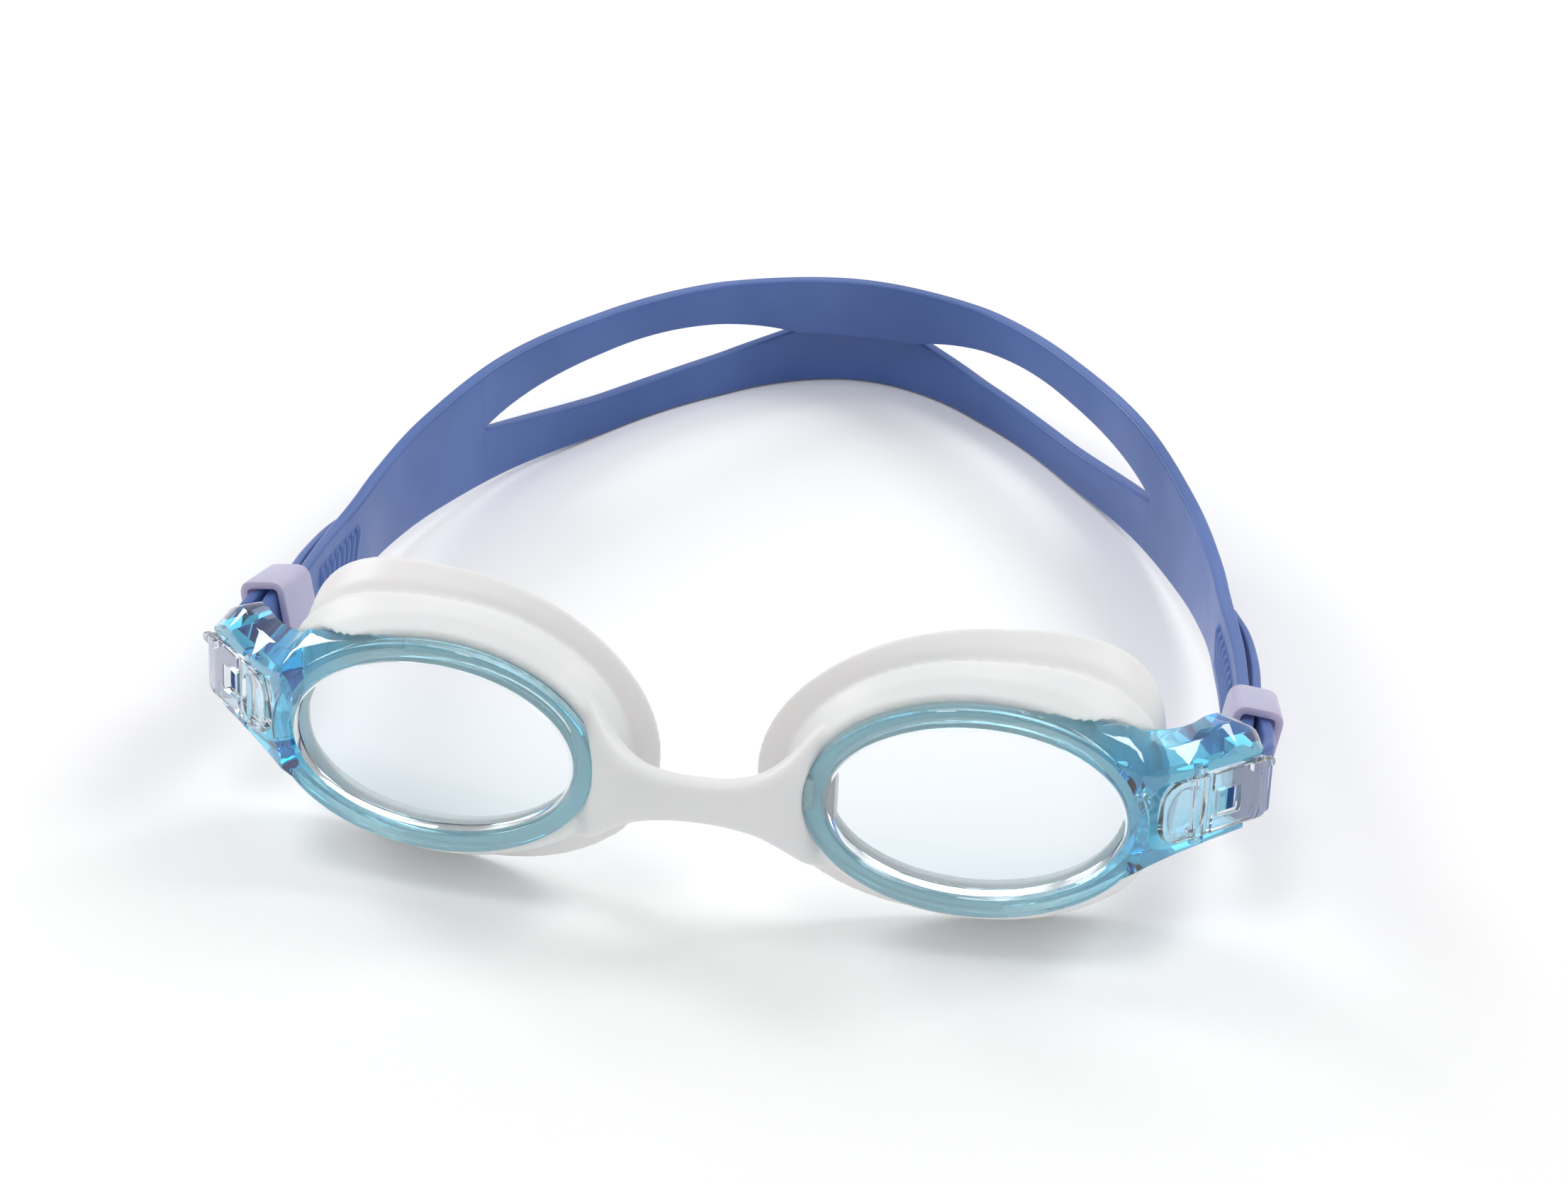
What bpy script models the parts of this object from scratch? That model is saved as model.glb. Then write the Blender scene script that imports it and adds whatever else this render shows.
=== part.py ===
"""Swim goggles: two clear lenses in tinted frames, one silicone gasket with its nose bridge, one split head
strap, two release levers and two strap keepers.

+Z is up and -Y is the front. Sizes are in millimetres, and new_object() turns them into Blender's metres.
The face unit (frames, lenses, gasket, levers, keepers) is drawn upright, with x to the temple, y to the back
and z up from the middle of the two lenses, and then leans back by FACE_LEAN, as it does when the goggles
stand on the lower rims of their gasket and on the back of the strap.
"""

from math import cos, pi, radians, sin

import bmesh
import bpy
from mathutils import Matrix, Vector

MM = 0.001

# Where the face unit stands in the object's own frame.
LENS_HEIGHT = 22.5
FACE_Y = -73.55
FACE_LEAN = radians(9)
FACE_TO_WORLD = Matrix.Translation((0, FACE_Y, LENS_HEIGHT)) @ Matrix.Rotation(-FACE_LEAN, 4, "X")

# Lens window and the ring round it. Each pair is the half width and half height of an oval.
EYE_X = 36.0
EYE_WRAP = radians(4)
WINDOW = (19.7, 12.15)
RING_WALL = 2.5
RING_DEPTH = 6.0
SEAT_DEPTH = 1.6
SEAT_LEDGE = 1.2
LENS_BOSS = 0.35
LENS_THICK = 2.0
GAP = 0.3

# Wing of the frame: its outer face runs from WING_ROOT in plan, at WING_ANGLE to the x axis.
WING_ROOT = (56.6, 1.0)
WING_ANGLE = radians(47.5)
WING_LENGTH = 22.4
WING_THICK = 5.6
WING_TOP_RISE = 0.32
RECESS = {"start": 1.8, "low": -3.7, "high": 5.6, "deep": 3.3}
SLOT = (17.8, 20.2)
BAR_DEPTH = (3.4, 5.2)
BAR_END = 21.8
TURN_REACH = 1.35

# Lever, in the wing's own axes: along the face, into it, and up.
LEVER_ALONG = (4.0, 22.4)
LEVER_UP = (-3.4, 5.2)
LEVER_DEPTH = (-0.5, 0.8)
PIVOT_ALONG = 11.0
PIVOT_DEPTH = 0.9
PIVOT_UP = 0.4
TRUNNION = (0.8, 1.1)

# Strap.
STRAP_THICK = 1.7
STRAP_WIDTH = 9.6
STRAP_SWAY = -6.0
KEEPER_Y = (31.2, 39.2)
KEEPER_WALL = 1.2
LAYER_APART = 2.1
KEEPER_LEAN = 0.18
LEFT_IN = 0.3
LEFT_RISE = 1.8

TURN_STEPS = 72


def clear_scene():
    for old in list(bpy.data.objects):
        bpy.data.objects.remove(old, do_unlink=True)


def new_material(name, colour, roughness, alpha=1.0, transmission=0.0):
    made = bpy.data.materials.new(name)
    made.use_nodes = True
    shader = made.node_tree.nodes["Principled BSDF"]
    shader.inputs["Base Color"].default_value = (*colour, 1.0)
    shader.inputs["Roughness"].default_value = roughness
    shader.inputs["Metallic"].default_value = 0.0
    shader.inputs["Alpha"].default_value = alpha
    shader.inputs["Transmission Weight"].default_value = transmission
    return made


def new_object(name, points, faces, finish=None, guide=False):
    """A closed mesh object in metres, faces turned outwards. A guide is a cutter or a piece of another object."""
    mesh = bpy.data.meshes.new(name)
    mesh.from_pydata([Vector(p) * MM for p in points], [], faces)
    work = bmesh.new()
    work.from_mesh(mesh)
    bmesh.ops.recalc_face_normals(work, faces=work.faces)
    work.to_mesh(mesh)
    work.free()
    made = bpy.data.objects.new(name, mesh)
    bpy.context.scene.collection.objects.link(made)
    if finish:
        mesh.materials.append(finish)
        mesh.shade_smooth()
        mesh.set_sharp_from_angle(angle=radians(35))
    if guide:
        made.hide_render = True
        made.display_type = "WIRE"
    return made


def boolean(target, other, operation):
    step = target.modifiers.new(other.name, "BOOLEAN")
    step.object = other
    step.operation = operation
    step.solver = "EXACT"


def put_origin(target, point):
    """Moves the object's origin to a point, its shape staying where it is."""
    place = Vector(point) * MM
    target.data.transform(Matrix.Translation(-place))
    target.location = place


def in_face(point, side=1):
    """A point of the upright face unit, on the right (side 1) or the left (side -1), in the object's frame."""
    return FACE_TO_WORLD @ Vector((point[0] * side, point[1], point[2]))


def oval(half, steps, power=2.0, nose_power=None):
    """Points round a superellipse, (x, z) pairs. Its -x half may have a power of its own."""
    points = []
    for i in range(steps):
        across, up = cos(2 * pi * i / steps), sin(2 * pi * i / steps)
        root = 2 / (power if across >= 0 else nose_power or power)
        x = half[0] * abs(across) ** root * (1 if across >= 0 else -1)
        z = half[1] * abs(up) ** root * (1 if up >= 0 else -1)
        points.append((x, z))
    return points


def eye_point(u, depth, up):
    """A point round the eye: u towards the temple, depth behind the ring's front face, up."""
    x = EYE_X + u * cos(EYE_WRAP) - depth * sin(EYE_WRAP)
    y = u * sin(EYE_WRAP) + depth * cos(EYE_WRAP)
    return x, y, up


def wing_point(along, depth, up):
    """A point of the wing: along its outer face, depth into it, up."""
    x = WING_ROOT[0] + along * cos(WING_ANGLE) - depth * sin(WING_ANGLE)
    y = WING_ROOT[1] + along * sin(WING_ANGLE) + depth * cos(WING_ANGLE)
    return x, y, up


def grid_faces(rows, columns, closed_rows):
    """Quads of a grid whose columns close on themselves, and its rows too if closed_rows."""
    faces = []
    for r in range(rows if closed_rows else rows - 1):
        below, above = r * columns, (r + 1) % rows * columns
        for c in range(columns):
            d = (c + 1) % columns
            faces.append((below + c, below + d, above + d, above + c))
    return faces


def loft(name, rings, finish=None, guide=False):
    """A solid through rings of equal length, capped at both ends."""
    columns = len(rings[0])
    faces = grid_faces(len(rings), columns, False)
    faces.append(tuple(range(columns)))
    faces.append(tuple(range((len(rings) - 1) * columns, len(rings) * columns)))
    return new_object(name, [p for ring in rings for p in ring], faces, finish, guide)


def hoop(name, rings, finish=None, guide=False):
    """A ring-shaped solid: the rings are the stations of a closed profile, each all the way round."""
    faces = grid_faces(len(rings), len(rings[0]), True)
    return new_object(name, [p for ring in rings for p in ring], faces, finish, guide)


def prism(name, outline, low, high, place, finish=None, guide=False):
    """A solid with a flat outline, drawn between two heights; place turns (a, b, height) into a point."""
    rings = [[place(a, b, height) for a, b in outline] for height in (low, high)]
    return loft(name, rings, finish, guide)


def eye_oval(half, depth, side, power=2.0):
    return [in_face(eye_point(u, depth, up), side) for u, up in oval(half, TURN_STEPS, power)]


def widened(half, extra):
    return half[0] + extra, half[1] + extra


def build_lens(name, side, finish):
    edge = widened(WINDOW, SEAT_LEDGE - GAP)
    boss = widened(WINDOW, -GAP)
    front = SEAT_DEPTH + GAP
    stations = (
        (widened(boss, -0.4), LENS_BOSS),
        (boss, LENS_BOSS + 0.3),
        (boss, front),
        (edge, front),
        (edge, front + LENS_THICK),
    )
    return loft(name, [eye_oval(half, depth, side) for half, depth in stations], finish)


def wing_outline(extra=0.0):
    """The wing in plan, grown by extra, from the ring's temple side round its end: (x, y) pairs."""
    end, inner = WING_LENGTH + extra, WING_THICK + extra
    return [
        (49.5 - extra, 0.9 - extra),
        (53.5, 1.1 - extra),
        wing_point(0, -extra, 0)[:2],
        wing_point(end - 0.9, -extra, 0)[:2],
        wing_point(end, 0.9, 0)[:2],
        wing_point(end - 0.6, inner - 0.9, 0)[:2],
        wing_point(end - 1.6, inner, 0)[:2],
        wing_point(4.0, inner, 0)[:2],
        (55.0 - extra / 2, 6.4 + extra),
        (49.5 - extra, 6.4 + extra),
    ]


def wing_profile():
    """The wing from the side: (x, z) pairs round its outline."""
    return [
        (49.0, 12.2),
        (53.5, 11.4),
        (58.0, 9.9),
        (62.0, 9.0),
        (65.0, 9.3),
        (67.4, 10.4),
        (69.8, 9.6),
        (73.5, 6.6),
        (73.5, -4.5),
        (66.0, -4.9),
        (56.6, -6.1),
        (51.0, -9.2),
        (49.0, -9.0),
    ]


def build_frame(name, side, finish):
    outer = widened(WINDOW, RING_WALL)
    seat = widened(WINDOW, SEAT_LEDGE)
    profile = (
        (outer, 0.5),
        (outer, RING_DEPTH),
        (seat, RING_DEPTH),
        (seat, SEAT_DEPTH),
        (WINDOW, SEAT_DEPTH),
        (WINDOW, 0.4),
        (widened(WINDOW, 0.3), 0.0),
        (widened(outer, -0.5), 0.0),
    )
    ring = hoop(name, [eye_oval(half, depth, side) for half, depth in profile], finish)

    def upright(x, y, z):
        return in_face((x, y, z), side)

    def sideways(x, z, y):
        behind = y - wing_point(max(0.0, (x - WING_ROOT[0]) / cos(WING_ANGLE)), 0, 0)[1]
        fade = min(1.0, max(0.0, (66 - x) / 4))
        rise = WING_TOP_RISE * behind * fade if z > 0 else 0.0
        return in_face((x, y, z + rise), side)

    wing = prism(name + "_wing", wing_outline(), -14, 14, upright, None, True)
    boolean(wing, prism(name + "_side", wing_profile(), -3, 24, sideways, None, True), "INTERSECT")
    seat_cut = loft(
        name + "_seat_cut",
        [eye_oval(widened(seat, -0.02), depth, side) for depth in (-4, 9)],
        None,
        True,
    )
    boolean(wing, seat_cut, "DIFFERENCE")

    def in_wing(along, depth, up):
        return in_face(wing_point(along, depth, up), side)

    def recess_place(along, up, depth):
        return in_wing(along, depth, up)

    low, high, start = RECESS["low"], RECESS["high"], RECESS["start"]
    recess = [
        (start, low + 2.5),
        (start + 0.8, low + 0.7),
        (start + 2.5, low),
        (SLOT[0] + 0.5, low),
        (SLOT[0] + 0.5, -9),
        (WING_LENGTH + 3, -9),
        (WING_LENGTH + 3, high),
        (start + 3.5, high),
        (start + 1.0, high - 1.2),
        (start, high - 3.5),
    ]
    boolean(
        wing,
        prism(name + "_recess", recess, -4, RECESS["deep"], recess_place, None, True),
        "DIFFERENCE",
    )
    cuts = (
        ("slot", SLOT[0], SLOT[1], high + 0.03, -4.1, 9.2),
        ("behind", SLOT[1] - 0.2, WING_LENGTH + 4.1, high + 0.06, BAR_DEPTH[1], 12.3),
        ("past_bar", BAR_END, WING_LENGTH + 4.4, high + 0.09, -4.3, 12.6),
    )
    for label, first, last, top, outer_face, inner_face in cuts:
        outline = [(first, -14), (last, -14), (last, top), (first, top)]
        cut = prism(name + "_" + label, outline, outer_face, inner_face, recess_place, None, True)
        boolean(wing, cut, "DIFFERENCE")
    socket = circle_outline(PIVOT_ALONG, PIVOT_DEPTH, TRUNNION[1], 16)
    boolean(
        wing,
        prism(name + "_socket", socket, low - 0.9, high + 0.9, in_wing, None, True),
        "DIFFERENCE",
    )
    boolean(ring, wing, "UNION")
    tab = [(-24.6, 0.9), (-21.0, 0.9), (-21.0, 2.3), (-24.6, 2.3)]

    def tab_place(u, depth, up):
        return in_face(eye_point(u, depth, up), side)

    boolean(ring, prism(name + "_tab", tab, -1.6, 2.6, tab_place, None, True), "UNION")
    return ring


def circle_outline(a, b, radius, steps):
    return [
        (a + radius * cos(2 * pi * i / steps), b + radius * sin(2 * pi * i / steps))
        for i in range(steps)
    ]


def build_lever(name, side, finish):
    def in_wing(along, depth, up):
        return in_face(wing_point(along, depth, up), side)

    def flat(along, up, depth):
        return in_wing(along, depth, up)

    a, b = LEVER_ALONG
    low, high = LEVER_UP
    plate = [
        (a, low + 3.2),
        (a + 1.0, low + 1.0),
        (a + 3.2, low),
        (b - 1.0, low),
        (b, low + 1.2),
        (b, high - 0.8),
        (b - 0.8, high),
        (a + 3.6, high),
        (a + 1.2, high - 1.0),
        (a, high - 3.4),
    ]
    lever = prism(name, plate, LEVER_DEPTH[0], LEVER_DEPTH[1], flat, finish)
    dish = [(7.2 + x, 0.6 + z) for x, z in oval((2.4, 3.3), 24)]
    boolean(lever, prism(name + "_dish", dish, -2, 0.1, flat, None, True), "DIFFERENCE")
    window = [(13.4, -1.6), (17.0, -1.6), (17.0, 2.4), (13.4, 2.4)]
    boolean(lever, prism(name + "_window", window, -2, 3, flat, None, True), "DIFFERENCE")
    barrel = circle_outline(PIVOT_ALONG, PIVOT_DEPTH, TRUNNION[0], 16)
    boolean(
        lever,
        prism(name + "_trunnion", barrel, RECESS["low"] - 0.5, RECESS["high"] + 0.5, in_wing, None, True),
        "UNION",
    )
    put_origin(lever, in_wing(PIVOT_ALONG, PIVOT_DEPTH, PIVOT_UP))
    return lever


# Gasket: each station is (nose half width, temple half width, half height, depth, power).
CUP = (
    (22.55, 22.55, 14.95, 2.0, 2.0),
    (23.3, 23.0, 15.8, 2.2, 2.0),
    (24.6, 23.6, 17.2, 4.8, 2.2),
    (25.6, 24.0, 18.0, 8.0, 2.7),
    (25.2, 23.3, 17.4, 8.7, 2.7),
    (27.2, 23.4, 18.8, 9.8, 2.9),
    (29.2, 23.6, 20.6, 12.0, 3.1),
    (29.0, 23.5, 20.5, 12.5, 3.1),
    (28.0, 22.6, 19.6, 12.3, 3.1),
    (24.6, 20.8, 16.4, 9.6, 2.7),
    (20.8, 19.2, 12.6, 7.4, 2.3),
    (18.9, 18.6, 11.4, 6.0, 2.0),
    (18.9, 18.6, 11.4, 4.3, 2.0),
    (20.5, 20.5, 12.9, 4.3, 2.0),
    (20.5, 20.5, 12.9, 6.3, 2.0),
    (22.55, 22.55, 14.95, 6.3, 2.0),
)
CUP_FLARE_START = 6.3
CUP_SLANT = 0.173
CUP_SKIRT_MIDDLE = -4.0
CUP_FLARE_DEPTH = 5.9


def cup_ring(station, side):
    nose, temple, up, depth, power = station
    ring = []
    for x, z in oval((1, 1), TURN_STEPS, power, 2.0):
        u = x * (temple if x >= 0 else nose)
        beyond = max(0.0, depth - CUP_FLARE_START)
        slanted = 1 + CUP_SLANT * (u - CUP_SKIRT_MIDDLE) / CUP_FLARE_DEPTH
        ring.append(in_face(eye_point(u, min(depth, CUP_FLARE_START) + beyond * slanted, z * up), side))
    return ring


BRIDGE = (
    (0.0, -1.0, -2.0, 2.1, 3.1),
    (4.0, -1.0, -2.0, 2.2, 3.3),
    (8.0, -0.6, -1.9, 2.6, 4.3),
    (11.5, 0.4, -1.6, 3.6, 6.6),
    (14.5, 2.4, -1.2, 4.0, 9.6),
    (17.5, 4.6, -0.8, 2.6, 11.2),
)


def build_gasket(name, finish):
    cups = []
    for side, label in ((1, "right"), (-1, "left")):
        cup_name = name if side == 1 else name + "_" + label
        rings = [cup_ring(station, side) for station in CUP]
        cups.append(hoop(cup_name, rings, finish if side == 1 else None, side == -1))
    stations = [(-x, y, z, d, h) for x, y, z, d, h in reversed(BRIDGE[1:])] + list(BRIDGE)
    rings = []
    for x, y, z, deep, high in stations:
        rings.append([in_face((x, y + a, z + b)) for a, b in oval((deep, high), 28, 2.4)])
    bridge = loft(name + "_bridge", rings, None, True)
    for side, label in ((1, "right"), (-1, "left")):
        hole = [eye_oval((22.5, 14.9), depth, side) for depth in (-6, 6.31)]
        boolean(bridge, loft(name + "_hole_" + label, hole, None, True), "DIFFERENCE")
    gasket, left = cups
    boolean(gasket, left, "UNION")
    boolean(gasket, bridge, "UNION")
    for side, label in ((1, "right"), (-1, "left")):
        boolean(gasket, tab_pocket(name + "_pocket_" + label, side), "DIFFERENCE")
        boolean(gasket, wing_clearance(name + "_clear_" + label, side), "DIFFERENCE")
    return gasket


def tab_pocket(name, side):
    """The space that the frame's nose tab takes in the bridge, with a gap round it."""
    outline = [(-24.9, 0.6), (-22.0, 0.6), (-22.0, 2.6), (-24.9, 2.6)]

    def place(u, depth, up):
        return in_face(eye_point(u, depth, up), side)

    return prism(name, outline, -1.9, 2.9, place, None, True)


def wing_clearance(name, side):
    """The space that the wing takes from the gasket's temple side, with a gap round it."""
    outline = wing_outline(0.4)
    outline[0] = (outline[0][0], outline[0][1] - 4)
    outline[1] = (outline[1][0], outline[1][1] - 4)

    def sloping(x, y, top):
        up = 12.9 - 0.21 * (x - 49) + WING_TOP_RISE * (y - 1) if top else -11
        return in_face((x, y, up), side)

    return prism(name, outline, 0, 1, sloping, None, True)


def smooth(knots, steps):
    """Points along a Catmull-Rom curve through the knots, with steps to each stretch."""
    knots = [Vector(k) for k in knots]
    points = []
    for i in range(len(knots) - 1):
        before = knots[i - 1] if i else knots[i] * 2 - knots[i + 1]
        after = knots[i + 2] if i + 2 < len(knots) else knots[i + 1] * 2 - knots[i]
        for s in range(steps):
            t = s / steps
            points.append(
                0.5
                * (
                    2 * knots[i]
                    + (knots[i + 1] - before) * t
                    + (2 * before - 5 * knots[i] + 4 * knots[i + 1] - after) * t**2
                    + (3 * knots[i] - before - 3 * knots[i + 1] + after) * t**3
                )
            )
    points.append(knots[-1])
    return points


BACK_REACH = 149.7
REST_FROM = 125.0


def left_fade(y, side):
    """How much of the left end's uneven stand is left, y behind the lenses: 1 at its keeper, 0 further back."""
    return max(0.0, 1 - (y - 40) / 35) ** 2 if side < 0 else 0.0


def strap_low(y, side):
    """Height of the strap's lower edge, y behind the lenses: it comes down to the surface and lies on it."""
    start, drop = 40.0, 9.9
    part = min(1.0, max(0.0, (y - start) / (REST_FROM - start)))
    return -LENS_HEIGHT + drop * (1 - part) ** 1.25 + LEFT_RISE * left_fade(y, side)


def strap_sway(y):
    """How far the strap hangs to the left, y behind the lenses."""
    return STRAP_SWAY * sin(pi / 2 * (y - 40) / (BACK_REACH - 40))


def strap_x(y):
    """The strap's distance from the middle plane before its sway, y behind the lenses."""
    for (x0, y0, _), (x1, y1, _) in zip(STRAP_RUN, STRAP_RUN[1:]):
        if y <= y1:
            return x0 + (x1 - x0) * (y - y0) / (y1 - y0)
    return 0.0


def run_point(point, side, z):
    x, y = point
    left = left_fade(y, side)
    across = (x - LEFT_IN * left) * side + strap_sway(y)
    return Vector((across, y + FACE_Y, z + LENS_HEIGHT + LEFT_RISE * left))


# The free tail behind the keeper: (y behind the lenses, distance outside the strap, z).
STRAP_TAIL = (
    (67.5, 1.6, -9.6),
    (60.0, 2.5, -9.2),
    (50.0, 2.5, -8.4),
)

# The strap behind the keepers: (x, y behind the lenses, width), on the right side, to the middle of the back.
STRAP_RUN = (
    (65.8, 40.0, 9.7),
    (65.2, 53.0, 10.4),
    (63.9, 64.0, 11.4),
    (62.0, 76.0, 13.2),
    (57.8, 90.0, 16.2),
    (49.8, 107.6, 19.6),
    (39.4, 122.6, 21.0),
    (27.4, 136.2, 20.4),
    (14.0, 145.9, 19.4),
    (0.0, 149.7, 19.0),
)


def build_all():
    clear = new_material("clear_polycarbonate", (0.92, 0.96, 0.98), 0.05, 0.35, 0.9)
    tint = new_material("blue_polycarbonate", (0.10, 0.62, 0.80), 0.06, 0.6, 0.8)
    milky = new_material("frosted_silicone", (0.90, 0.93, 0.93), 0.45, 0.85)
    strap_blue = new_material("blue_silicone", (0.14, 0.22, 0.50), 0.40)
    lavender = new_material("lavender_plastic", (0.70, 0.68, 0.86), 0.35)
    for side, label in ((1, "right"), (-1, "left")):
        build_frame("lens_frame_" + label, side, tint)
        build_lens("lens_" + label, side, clear)
        build_lever("release_lever_" + label, side, clear)
        build_keeper("keeper_" + label, side, lavender)
    build_gasket("gasket", milky)
    build_strap("head_strap", strap_blue)


def keeper_axis(side):
    """The middle of the keeper at its front and its back, in the object's frame."""
    shift, rise = (LEFT_IN, LEFT_RISE) if side < 0 else (0.0, 0.0)
    front = in_face((68.4 - shift, KEEPER_Y[0], -1.1 + rise), side)
    back = in_face((67.0 - shift, KEEPER_Y[1], -1.4 + rise), side)
    return front, back


def leaning_up(side):
    """The direction up the strap's width at the keeper, where its upper edge leans outwards."""
    face_up = FACE_TO_WORLD.to_3x3() @ Vector((0, 0, 1))
    return (face_up + Vector((KEEPER_LEAN * side, 0, 0))).normalized()


def build_keeper(name, side, finish):
    front, back = keeper_axis(side)
    along = (back - front).normalized()
    up = leaning_up(side)
    across = along.cross(up).normalized() * side
    inner = (LAYER_APART / 2 + STRAP_THICK / 2 + 0.42, STRAP_WIDTH / 2 + 0.45)
    outer = widened(inner, KEEPER_WALL)

    def rounded(half, corner):
        points = []
        for sx, sz in ((1, 1), (-1, 1), (-1, -1), (1, -1)):
            for i in range(4):
                a = pi / 6 * i
                first, second = (cos(a), sin(a)) if sx * sz > 0 else (sin(a), cos(a))
                points.append(
                    (sx * (half[0] - corner + corner * first), sz * (half[1] - corner + corner * second))
                )
        return points

    def ring(half, corner, where):
        return [where + across * a + up * b for a, b in rounded(half, corner)]

    rings = [
        ring(outer, 1.4, front),
        ring(outer, 1.4, back),
        ring(inner, 0.5, back),
        ring(inner, 0.5, front),
    ]
    keeper = hoop(name, rings, finish)
    put_origin(keeper, (front + back) / 2)
    return keeper


def strap_half(side):
    """Stations of the strap from its free tip to the middle of the back: (middle, up, width, thickness)."""
    face_up = (FACE_TO_WORLD.to_3x3() @ Vector((0, 0, 1))).normalized()
    stations = []

    def add(points, widths, thicknesses, ups):
        last = len(points) - 1
        for i, point in enumerate(points):
            t = i / last
            stations.append(
                (
                    point,
                    ups[0].lerp(ups[1], t).normalized(),
                    widths[0] + (widths[1] - widths[0]) * t,
                    thicknesses[0] + (thicknesses[1] - thicknesses[0]) * t,
                )
            )

    tall = Vector((0, 0, 1))
    lean_up = leaning_up(side)
    outer_depth = BAR_DEPTH[0] - GAP - STRAP_THICK / 2
    inner_depth = BAR_DEPTH[1] + GAP + STRAP_THICK / 2
    radius = (inner_depth - outer_depth) / 2
    reach = TURN_REACH
    turn_at = SLOT[1] + 0.2
    middle = 0.4
    front, back = keeper_axis(side)
    outwards = Vector((side * LAYER_APART / 2, 0, 0))
    tail_knots = [run_point((strap_x(y) + out, y), side, z) for y, out, z in STRAP_TAIL]
    tail = smooth([*tail_knots, back + outwards, front + outwards], 4)
    add(tail, (5.0, STRAP_WIDTH), (0.9, STRAP_THICK), (tall, lean_up))
    bend = smooth(
        [
            front + outwards,
            in_face((70.7, 25.5, -0.6), side),
            in_face((71.25, 21.4, 0.1), side),
        ],
        3,
    )
    add(bend[1:], (STRAP_WIDTH, STRAP_WIDTH), (STRAP_THICK, STRAP_THICK), (lean_up, face_up))
    bend = smooth(
        [
            in_face((71.25, 21.4, 0.1), side),
            in_face(wing_point(WING_LENGTH - 0.5, outer_depth - 0.2, middle), side),
            in_face(wing_point(turn_at + 0.1, outer_depth, middle), side),
        ],
        3,
    )
    add(bend[1:], (STRAP_WIDTH, STRAP_WIDTH), (STRAP_THICK, STRAP_THICK), (face_up, face_up))
    turn = []
    for i in range(1, 8):
        a = pi * i / 8
        along = turn_at - reach * sin(a)
        depth = (outer_depth + inner_depth) / 2 - radius * cos(a)
        turn.append(in_face(wing_point(along, depth, middle), side))
    add(turn, (STRAP_WIDTH, STRAP_WIDTH), (STRAP_THICK, STRAP_THICK), (face_up, face_up))
    inside = smooth(
        [
            in_face(wing_point(turn_at + 0.3, inner_depth, middle), side),
            in_face((66.75, 24.8, -0.5), side),
            front - outwards,
            back - outwards,
        ],
        4,
    )
    add(inside[:-1], (STRAP_WIDTH, STRAP_WIDTH), (STRAP_THICK, STRAP_THICK), (face_up, lean_up))
    run = []
    for x, y, width in STRAP_RUN:
        run.append(((x - LEFT_IN * left_fade(y, side)) * side + strap_sway(y), y, width))
    mirrored = (2 * run[-1][0] - run[-2][0], run[-2][1], run[-2][2])
    curve = smooth([*run, mirrored], 5)[: 5 * (len(run) - 1) + 1]
    for i, point in enumerate(curve):
        t = min(1.0, i / 12)
        x, y, width = point
        low = strap_low(y, side)
        middle_point = Vector((x, y + FACE_Y, low + width / 2 + LENS_HEIGHT))
        stations.append((middle_point, lean_up.lerp(tall, t).normalized(), width, STRAP_THICK + 0.3 * t))
    return stations


def strap_ring(stations, i, width, thick, shift=0.0):
    middle, up, _, _ = stations[i]
    before = stations[max(0, i - 1)][0]
    after = stations[min(len(stations) - 1, i + 1)][0]
    ahead = (after - before).normalized()
    across = ahead.cross(up).normalized()
    up = across.cross(ahead).normalized() if abs(ahead.z) > 0.6 else up
    corner = min(0.45, thick * 0.3, width * 0.3)
    half_w, half_t = width / 2, thick / 2
    outline = (
        (half_t, half_w - corner),
        (half_t - corner, half_w),
        (-half_t + corner, half_w),
        (-half_t, half_w - corner),
        (-half_t, -half_w + corner),
        (-half_t + corner, -half_w),
        (half_t - corner, -half_w),
        (half_t, -half_w + corner),
    )
    return [middle + across * a + up * (b + shift) for a, b in outline]


def build_strap(name, finish):
    right = strap_half(1)
    left = strap_half(-1)
    stations = right + list(reversed(left))[1:]
    rings = [strap_ring(stations, i, s[2], s[3]) for i, s in enumerate(stations)]
    strap = loft(name, rings, finish)
    middle = len(right) - 1
    reach = 21
    slot = []
    for i in range(middle - reach, middle + reach + 1):
        part = abs(i - middle) / reach
        opening = 0.5 + 8.0 * sin(pi * part**0.8) ** 0.8 if part < 1 else 0.6
        slot.append(strap_ring(stations, i, opening, 8.0))
    boolean(strap, loft(name + "_slot", slot, None, True), "DIFFERENCE")
    return strap


clear_scene()
build_all()
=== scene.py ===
"""Looks of the swim goggles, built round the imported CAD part.

Sizes are in millimetres until new_object() turns them into metres. The face unit is drawn upright, with x to
the temple, y to the back and z up from the middle of the lenses, and then leans back by FACE_LEAN.
"""

from math import cos, hypot, pi, radians, sin

import bmesh
import bpy
from mathutils import Matrix, Vector


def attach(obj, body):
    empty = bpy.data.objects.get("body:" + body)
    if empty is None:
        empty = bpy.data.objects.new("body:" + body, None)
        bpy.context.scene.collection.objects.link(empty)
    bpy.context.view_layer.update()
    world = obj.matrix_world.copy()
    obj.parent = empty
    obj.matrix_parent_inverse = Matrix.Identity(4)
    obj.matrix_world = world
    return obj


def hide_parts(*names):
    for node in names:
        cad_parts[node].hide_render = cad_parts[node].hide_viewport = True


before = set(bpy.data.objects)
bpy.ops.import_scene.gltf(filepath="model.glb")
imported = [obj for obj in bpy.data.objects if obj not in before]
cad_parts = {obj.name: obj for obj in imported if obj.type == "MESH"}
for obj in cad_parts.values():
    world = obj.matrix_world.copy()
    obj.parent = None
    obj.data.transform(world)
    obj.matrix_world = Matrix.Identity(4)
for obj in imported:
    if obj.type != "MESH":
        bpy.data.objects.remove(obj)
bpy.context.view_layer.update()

MM = 0.001
LENS_HEIGHT = 22.5
FACE_Y = -73.55
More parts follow.
